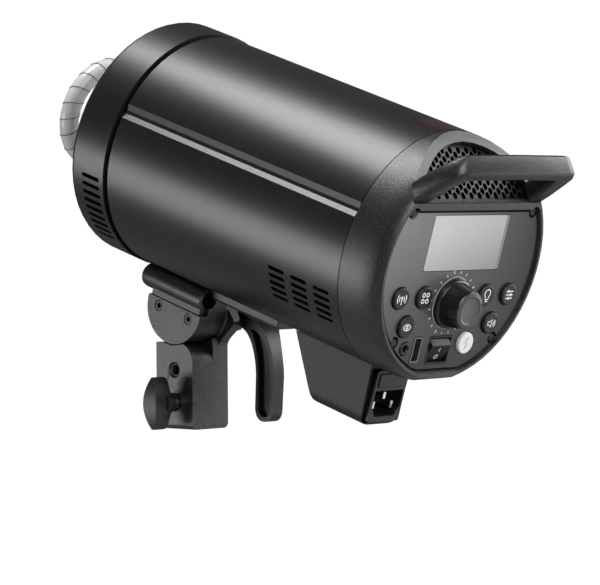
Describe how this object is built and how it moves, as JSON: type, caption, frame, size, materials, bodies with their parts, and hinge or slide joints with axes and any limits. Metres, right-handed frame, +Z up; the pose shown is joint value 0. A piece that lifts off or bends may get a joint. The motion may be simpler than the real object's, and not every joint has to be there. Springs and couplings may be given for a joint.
{
  "type": "monolight strobe",
  "caption": "Tubular studio flash head with a ring flash tube, rear control panel, carry handle, power box and tilting stand bracket with lever and clamp knob.",
  "frame": {"origin": "centre of the blind end of the bracket's 16 mm stand socket, where the top of a stand spigot rests", "axes": "+Z up along the stand socket, -Y the way the light leaves, +Y the control panel's side, +X the head's left seen from behind; the head is stored tilted 17.9 degrees nose up"},
  "size_m": [0.1278, 0.299, 0.2133],
  "materials": {
    "shell_paint": "satin",
    "cap_plastic": "fine speckle",
    "black_plastic": "matte",
    "dark_metal": "satin",
    "dish_metal": "satin",
    "white_ceramic": "matte",
    "clear_glass": "clear",
    "red_window": "gloss",
    "panel_gloss": "semi-gloss",
    "screen_glass": "grey display",
    "circuit_board": "solder mask",
    "key_rubber": "matte",
    "white_key": "gloss",
    "black_steel": "black oxide",
    "bright_steel": "plated",
    "knob_rubber": "satin",
    "cast_paint": "fine texture",
    "rail_metal": "satin",
    "can_sleeve": "sleeved"
  },
  "bodies": {
    "bracket": {"bracket": "cast_paint"},
    "head": {"front_shroud": "shell_paint", "body_tube": "shell_paint", "rear_cap": "cap_plastic", "handle": "cap_plastic", "psu_housing": "cap_plastic", "bayonet_ring": "dark_metal", "reflector_dish": "dish_metal", "lamp_socket": "white_ceramic", "modelling_lamp": "clear_glass", "flash_tube": "clear_glass", "sensor_window": "red_window", "rear_grille": "black_plastic", "control_panel": "panel_gloss", "display_window": "screen_glass", "display_module": "circuit_board", "control_board": "circuit_board", "panel_screw_1": "black_steel", "panel_screw_2": "black_steel", "panel_screw_3": "black_steel", "panel_screw_4": "black_steel", "encoder_body": "black_plastic", "rocker_frame": "black_plastic", "sync_jack": "black_plastic", "usb_port": "bright_steel", "mains_inlet": "black_plastic", "earth_pin": "bright_steel", "live_pin": "bright_steel", "neutral_pin": "bright_steel", "yoke": "cast_paint", "yoke_screw_1": "black_steel", "yoke_screw_2": "black_steel", "friction_plate": "bright_steel", "mount_rail": "rail_metal", "flash_capacitor_1": "can_sleeve", "flash_capacitor_2": "can_sleeve", "trigger_coil": "white_ceramic", "power_board": "circuit_board", "fan_frame": "black_plastic"},
    "clamp_slide": {"clamp_pad": "bright_steel"},
    "stand_knob": {"stand_knob": "black_plastic", "clamp_screw": "bright_steel"},
    "tilt_lever": {"tilt_lever": "black_plastic", "tilt_bolt": "bright_steel"},
    "dial_push": {"dial_plunger": "bright_steel"},
    "dial": {"dial_knob": "knob_rubber", "dial_shaft": "bright_steel"},
    "power_rocker": {"power_rocker": "panel_gloss"},
    "fuse_drawer": {"fuse_drawer": "black_plastic"},
    "fan_rotor": {"fan_rotor": "black_plastic"},
    "release_latch": {"release_latch": "black_plastic"},
    "radio_key": {"radio_key": "key_rubber"},
    "group_key": {"group_key": "key_rubber"},
    "lamp_key": {"lamp_key": "key_rubber"},
    "function_key": {"function_key": "key_rubber"},
    "slave_key": {"slave_key": "key_rubber"},
    "beeper_key": {"beeper_key": "key_rubber"},
    "test_key": {"test_key": "white_key"}
  },
  "joints": [
    {"name": "head_tilt", "type": "hinge", "parent": "bracket", "child": "head", "pos_m": [0, 0, 0.0282], "axis": [1, 0, 0], "range_deg": [-38, 70]},
    {"name": "lever_turn", "type": "hinge", "parent": "head", "child": "tilt_lever", "pos_m": [0, 0, 0.0282], "axis": [1, 0, 0], "range_deg": [-60, 20]},
    {"name": "stand_knob_turn", "type": "hinge", "parent": "clamp_slide", "child": "stand_knob", "pos_m": [0.02, 0, -0.0218], "axis": [1, 0, 0], "range_deg": [0, 540]},
    {"name": "clamp_travel", "type": "slide", "parent": "bracket", "child": "clamp_slide", "axis": [1, 0, 0], "range_m": [0, 0.00187]},
    {"name": "dial_push", "type": "slide", "parent": "head", "child": "dial_push", "axis": [0, -0.9516, 0.3074], "range_m": [0, 0.0008], "stiffness_N_per_m": 1500, "springref_m": -0.0004},
    {"name": "dial_turn", "type": "hinge", "parent": "dial_push", "child": "dial", "pos_m": [0.0012, 0.18149, 0.03179], "axis": [0, 0.9516, -0.3074], "continuous": true},
    {"name": "radio_key_press", "type": "slide", "parent": "head", "child": "radio_key", "axis": [0, -0.9516, 0.3074], "range_m": [0, 0.0008], "stiffness_N_per_m": 800, "springref_m": -0.0004},
    {"name": "group_key_press", "type": "slide", "parent": "head", "child": "group_key", "axis": [0, -0.9516, 0.3074], "range_m": [0, 0.0008], "stiffness_N_per_m": 800, "springref_m": -0.0004},
    {"name": "lamp_key_press", "type": "slide", "parent": "head", "child": "lamp_key", "axis": [0, -0.9516, 0.3074], "range_m": [0, 0.0008], "stiffness_N_per_m": 800, "springref_m": -0.0004},
    {"name": "function_key_press", "type": "slide", "parent": "head", "child": "function_key", "axis": [0, -0.9516, 0.3074], "range_m": [0, 0.0008], "stiffness_N_per_m": 800, "springref_m": -0.0004},
    {"name": "slave_key_press", "type": "slide", "parent": "head", "child": "slave_key", "axis": [0, -0.9516, 0.3074], "range_m": [0, 0.0008], "stiffness_N_per_m": 800, "springref_m": -0.0004},
    {"name": "beeper_key_press", "type": "slide", "parent": "head", "child": "beeper_key", "axis": [0, -0.9516, 0.3074], "range_m": [0, 0.0008], "stiffness_N_per_m": 800, "springref_m": -0.0004},
    {"name": "test_key_press", "type": "slide", "parent": "head", "child": "test_key", "axis": [0, -0.9516, 0.3074], "range_m": [0, 0.0008], "stiffness_N_per_m": 800, "springref_m": -0.0004},
    {"name": "rocker_tip", "type": "hinge", "parent": "head", "child": "power_rocker", "pos_m": [0.0022, 0.17075, 0.00962], "axis": [1, 0, 0], "range_deg": [0, 16]},
    {"name": "fuse_drawer_pull", "type": "slide", "parent": "head", "child": "fuse_drawer", "axis": [0, 0.9516, -0.3074], "range_m": [0, 0.016]},
    {"name": "fan_spin", "type": "hinge", "parent": "head", "child": "fan_rotor", "pos_m": [0, 0.13217, 0.06779], "axis": [0, 0.9516, -0.3074], "continuous": true},
    {"name": "latch_pull", "type": "slide", "parent": "head", "child": "release_latch", "axis": [0, 0.9516, -0.3074], "range_m": [0, 0.0048], "stiffness_N_per_m": 500, "springref_m": -0.001}
  ],
  "couplings": [
    {"joint": "stand_knob_turn", "follows": "clamp_travel", "rad_per_m": 5026.5}
  ]
}
